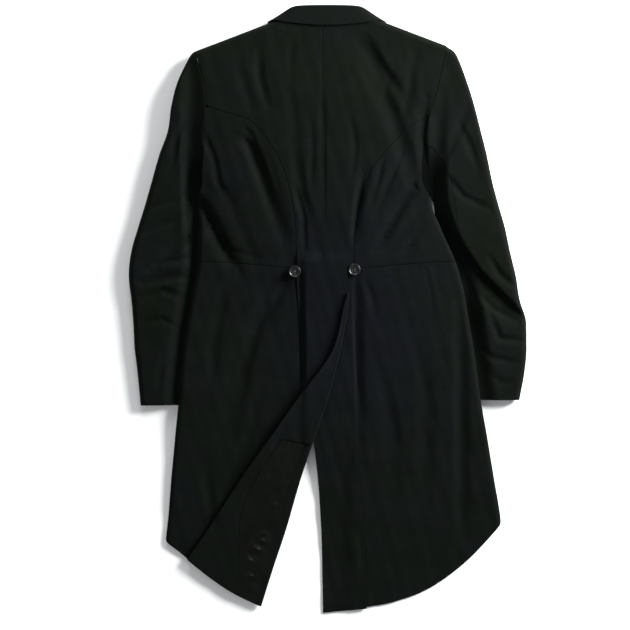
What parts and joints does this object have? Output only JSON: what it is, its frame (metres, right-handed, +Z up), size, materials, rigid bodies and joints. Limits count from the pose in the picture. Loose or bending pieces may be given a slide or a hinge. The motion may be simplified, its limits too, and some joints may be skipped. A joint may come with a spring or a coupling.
{
  "type": "morning coat",
  "caption": "Black wool morning coat laid front down, with a seamed waist, long cut-away skirts, a centre vent and one tail turned back.",
  "frame": {"origin": "middle of the coat's footprint, on the surface that it lies on", "axes": "+Y towards the collar, +X towards the wearer's right, +Z up from the surface, out of the coat's back"},
  "size_m": [0.6938, 1.0587, 0.038],
  "materials": {
    "wool": "matte",
    "lining": "satin",
    "button": "gloss"
  },
  "bodies": {
    "root": {"back_left": "wool", "back_right": "wool", "sidebody_left": "wool", "sidebody_right": "wool", "forepart_left": "wool", "forepart_right": "wool", "skirt_left": "wool", "skirt_right": "wool", "top_sleeve_left": "wool", "top_sleeve_right": "wool", "under_sleeve_left": "wool", "under_sleeve_right": "wool", "collar": "wool", "lapel_left": "wool", "lapel_right": "wool", "vent_facing_left": "wool", "tail_lining_left": "lining", "back_button_left": "button", "back_button_right": "button", "front_button": "button"}
  },
  "joints": []
}
